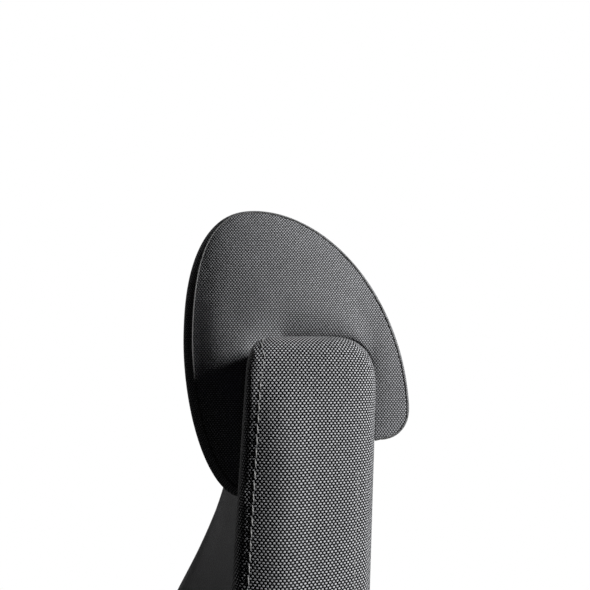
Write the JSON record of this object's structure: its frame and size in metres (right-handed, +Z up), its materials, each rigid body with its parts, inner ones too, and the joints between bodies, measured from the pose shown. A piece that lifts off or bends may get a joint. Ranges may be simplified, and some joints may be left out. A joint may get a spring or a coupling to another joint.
{
  "type": "office chair",
  "caption": "Heavy-duty swivel office chair: winged upholstered back, saddle-shaped headrest on posts, padded seat, adjustable arms, tilt mechanism, gas lift and star base on castors.",
  "frame": {"origin": "on the floor, under the axis of the gas lift column", "axes": "+Z up along the column; the sitter faces -Y; +X is the sitter's left"},
  "size_m": [0.7326, 0.7018, 1.245],
  "materials": {
    "upholstery": "woven, matt",
    "arm_pad_foam": "soft, matt",
    "black_plastic": "fine grain",
    "base_metal": "polished, brushed",
    "black_steel": "satin powder coat",
    "bright_steel": "bright",
    "castor_plastic": "satin",
    "castor_tread": "matt",
    "axle_steel": "ground"
  },
  "bodies": {
    "base": {"base_star": "base_metal", "gas_lift_tube": "black_steel", "lift_guide_bush": "black_plastic"},
    "lift": {"gas_lift_rod": "bright_steel"},
    "mechanism": {"mechanism_housing": "black_steel", "front_pivot_pin": "bright_steel", "rear_pivot_pin": "bright_steel"},
    "tension_knob": {"tension_knob": "black_plastic"},
    "height_lever": {"height_lever": "black_plastic"},
    "tilt_lever": {"tilt_lever": "black_plastic"},
    "seat_carrier": {"seat_carrier": "black_steel"},
    "seat": {"seat_pan": "black_plastic", "seat_rail_left": "black_steel", "seat_rail_right": "black_steel", "seat_cushion": "upholstery", "arm_bracket_left": "black_steel", "arm_bracket_right": "black_steel", "arm_sleeve_left": "black_plastic", "arm_sleeve_right": "black_plastic"},
    "seat_slide_lever": {"seat_slide_lever": "black_plastic"},
    "back_bar": {"back_bar": "black_steel"},
    "back": {"back_carriage": "black_plastic", "back_shell": "black_plastic", "back_cushion": "upholstery", "guide_bush_left": "black_plastic", "guide_bush_right": "black_plastic"},
    "height_clamp_knob": {"height_clamp_knob": "black_plastic"},
    "headrest": {"headrest_cushion": "upholstery", "headrest_post_left": "bright_steel", "headrest_post_right": "bright_steel"},
    "arm_upper_left": {"arm_stem_left": "bright_steel", "arm_pad_plate_left": "black_plastic"},
    "arm_pad_left": {"arm_pad_left": "arm_pad_foam"},
    "arm_button_left": {"arm_button_left": "bright_steel"},
    "arm_upper_right": {"arm_stem_right": "bright_steel", "arm_pad_plate_right": "black_plastic"},
    "arm_pad_right": {"arm_pad_right": "arm_pad_foam"},
    "arm_button_right": {"arm_button_right": "bright_steel"},
    "castor_1": {"castor_frame_1": "castor_plastic"},
    "castor_wheels_1": {"castor_wheel_inner_1": "castor_tread", "castor_wheel_outer_1": "castor_tread", "castor_axle_1": "axle_steel"},
    "castor_2": {"castor_frame_2": "castor_plastic"},
    "castor_wheels_2": {"castor_wheel_inner_2": "castor_tread", "castor_wheel_outer_2": "castor_tread", "castor_axle_2": "axle_steel"},
    "castor_3": {"castor_frame_3": "castor_plastic"},
    "castor_wheels_3": {"castor_wheel_inner_3": "castor_tread", "castor_wheel_outer_3": "castor_tread", "castor_axle_3": "axle_steel"},
    "castor_4": {"castor_frame_4": "castor_plastic"},
    "castor_wheels_4": {"castor_wheel_inner_4": "castor_tread", "castor_wheel_outer_4": "castor_tread", "castor_axle_4": "axle_steel"},
    "castor_5": {"castor_frame_5": "castor_plastic"},
    "castor_wheels_5": {"castor_wheel_inner_5": "castor_tread", "castor_wheel_outer_5": "castor_tread", "castor_axle_5": "axle_steel"}
  },
  "joints": [
    {"name": "seat_height", "type": "slide", "parent": "base", "child": "lift", "axis": [0, 0, 1], "range_m": [0, 0.1]},
    {"name": "chair_swivel", "type": "hinge", "parent": "lift", "child": "mechanism", "pos_m": [0, 0, 0.33], "axis": [0, 0, 1], "continuous": true},
    {"name": "tension_adjust", "type": "hinge", "parent": "mechanism", "child": "tension_knob", "pos_m": [0, -0.076, 0.29], "axis": [0, 0, 1], "continuous": true},
    {"name": "height_lever_lift", "type": "hinge", "parent": "mechanism", "child": "height_lever", "pos_m": [-0.086, 0, 0.344], "axis": [0, 1, 0], "range_deg": [0, 8], "stiffness_Nm_per_rad": 2, "springref_deg": -8.59},
    {"name": "tilt_lever_turn", "type": "hinge", "parent": "mechanism", "child": "tilt_lever", "pos_m": [0.086, -0.06, 0.34], "axis": [1, 0, 0], "range_deg": [0, 35]},
    {"name": "seat_tilt", "type": "hinge", "parent": "mechanism", "child": "seat_carrier", "pos_m": [0, -0.1, 0.352], "axis": [-1, 0, 0], "range_deg": [0, 7]},
    {"name": "seat_depth", "type": "slide", "parent": "seat_carrier", "child": "seat", "axis": [0, -1, 0], "range_m": [0, 0.05]},
    {"name": "slide_lever_lift", "type": "hinge", "parent": "seat", "child": "seat_slide_lever", "pos_m": [0.196, -0.135, 0.3806], "axis": [0, -1, 0], "range_deg": [0, 7], "stiffness_Nm_per_rad": 1, "springref_deg": -8.59},
    {"name": "back_recline", "type": "hinge", "parent": "mechanism", "child": "back_bar", "pos_m": [0, 0.045, 0.332], "axis": [-1, 0, 0], "range_deg": [0, 20], "stiffness_Nm_per_rad": 120, "springref_deg": -20.05},
    {"name": "back_height", "type": "slide", "parent": "back_bar", "child": "back", "axis": [0, 0.0523, 0.9986], "range_m": [0, 0.06]},
    {"name": "clamp_knob_turn", "type": "hinge", "parent": "back", "child": "height_clamp_knob", "pos_m": [0, 0.30258, 0.77], "axis": [0, 0.9986, -0.0523], "continuous": true},
    {"name": "headrest_height", "type": "slide", "parent": "back", "child": "headrest", "axis": [0, 0.0523, 0.9986], "range_m": [0, 0.05]},
    {"name": "arm_height_left", "type": "slide", "parent": "seat", "child": "arm_upper_left", "axis": [0, 0, 1], "range_m": [0, 0.08]},
    {"name": "arm_pad_turn_left", "type": "hinge", "parent": "arm_upper_left", "child": "arm_pad_left", "pos_m": [0.3183, -0.01, 0.63], "axis": [0, 0, 1], "range_deg": [-15, 15]},
    {"name": "arm_button_press_left", "type": "slide", "parent": "seat", "child": "arm_button_left", "axis": [-1, 0, 0], "range_m": [0, 0.003], "stiffness_N_per_m": 600, "springref_m": -0.002},
    {"name": "arm_height_right", "type": "slide", "parent": "seat", "child": "arm_upper_right", "axis": [0, 0, 1], "range_m": [0, 0.08]},
    {"name": "arm_pad_turn_right", "type": "hinge", "parent": "arm_upper_right", "child": "arm_pad_right", "pos_m": [-0.3183, -0.01, 0.63], "axis": [0, 0, 1], "range_deg": [-15, 15]},
    {"name": "arm_button_press_right", "type": "slide", "parent": "seat", "child": "arm_button_right", "axis": [1, 0, 0], "range_m": [0, 0.003], "stiffness_N_per_m": 600, "springref_m": -0.002},
    {"name": "castor_swivel_1", "type": "hinge", "parent": "base", "child": "castor_1", "pos_m": [0, -0.325, 0.07], "axis": [0, 0, 1], "continuous": true},
    {"name": "castor_roll_1", "type": "hinge", "parent": "castor_1", "child": "castor_wheels_1", "pos_m": [0.022, -0.325, 0.0325], "axis": [0, -1, 0], "continuous": true},
    {"name": "castor_swivel_2", "type": "hinge", "parent": "base", "child": "castor_2", "pos_m": [0.30909, -0.10043, 0.07], "axis": [0, 0, 1], "continuous": true},
    {"name": "castor_roll_2", "type": "hinge", "parent": "castor_2", "child": "castor_wheels_2", "pos_m": [0.31589, -0.07951, 0.0325], "axis": [0.9511, -0.309, 0], "continuous": true},
    {"name": "castor_swivel_3", "type": "hinge", "parent": "base", "child": "castor_3", "pos_m": [0.19103, 0.26293, 0.07], "axis": [0, 0, 1], "continuous": true},
    {"name": "castor_roll_3", "type": "hinge", "parent": "castor_3", "child": "castor_wheels_3", "pos_m": [0.17323, 0.27586, 0.0325], "axis": [0.5878, 0.809, 0], "continuous": true},
    {"name": "castor_swivel_4", "type": "hinge", "parent": "base", "child": "castor_4", "pos_m": [-0.19103, 0.26293, 0.07], "axis": [0, 0, 1], "continuous": true},
    {"name": "castor_roll_4", "type": "hinge", "parent": "castor_4", "child": "castor_wheels_4", "pos_m": [-0.20883, 0.25, 0.0325], "axis": [-0.5878, 0.809, 0], "continuous": true},
    {"name": "castor_swivel_5", "type": "hinge", "parent": "base", "child": "castor_5", "pos_m": [-0.30909, -0.10043, 0.07], "axis": [0, 0, 1], "continuous": true},
    {"name": "castor_roll_5", "type": "hinge", "parent": "castor_5", "child": "castor_wheels_5", "pos_m": [-0.30229, -0.12135, 0.0325], "axis": [-0.9511, -0.309, 0], "continuous": true}
  ],
  "couplings": [
    {"joint": "seat_tilt", "follows": "back_recline", "ratio": 0.35}
  ]
}
